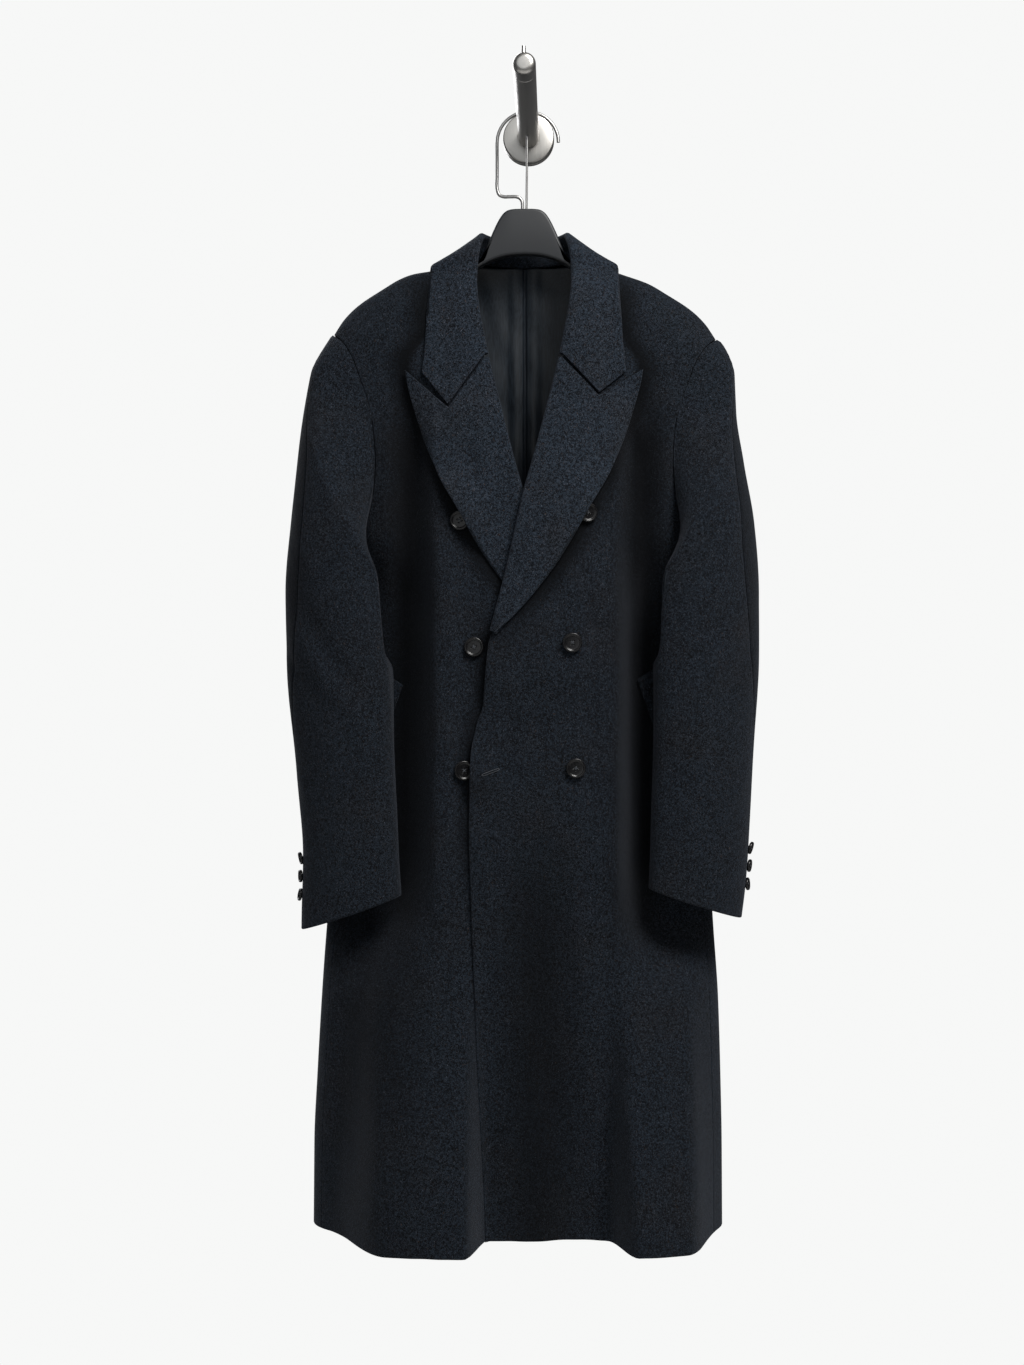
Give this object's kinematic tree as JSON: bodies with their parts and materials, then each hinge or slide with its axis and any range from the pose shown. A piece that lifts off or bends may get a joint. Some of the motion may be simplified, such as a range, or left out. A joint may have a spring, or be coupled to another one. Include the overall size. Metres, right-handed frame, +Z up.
{
  "type": "double-breasted coat on a hanger and wall hook",
  "caption": "Long double-breasted wool coat with wide peaked lapels and slanted welt pockets, hanging on a hanger from a round peg wall hook.",
  "frame": {"origin": "on the wall, at the centre of the rosette's back face", "axes": "+X to the picture's right, which is the wearer's left; +Y into the wall; +Z up; the coat faces -Y"},
  "size_m": [0.5609, 0.306, 1.3353],
  "materials": {
    "wool": "napped charcoal-navy melton with fine light and brown flecks",
    "lining": "satin lining",
    "button": "polished",
    "hanger": "matte",
    "steel": "brushed"
  },
  "bodies": {
    "root": {"front_left_over": "wool", "front_right_under": "wool", "back_left": "wool", "back_right": "wool", "sleeve_right_top": "wool", "sleeve_right_under": "wool", "sleeve_left_top": "wool", "sleeve_left_under": "wool", "lapel_left": "wool", "lapel_right": "wool", "pocket_welt_right": "wool", "pocket_welt_left": "wool", "collar": "wool", "back_lining": "lining", "button_right_1": "button", "button_right_2": "button", "button_right_3": "button", "button_left_1": "button", "button_left_2": "button", "button_left_3": "button", "cuff_button_right_1": "button", "cuff_button_right_2": "button", "cuff_button_right_3": "button", "cuff_button_left_1": "button", "cuff_button_left_2": "button", "cuff_button_left_3": "button", "hanger_body": "hanger", "hanger_hook": "steel", "hanger_stay": "steel", "wall_rosette": "steel", "wall_peg": "steel", "peg_end_cap": "steel", "peg_pin": "steel"}
  },
  "joints": []
}
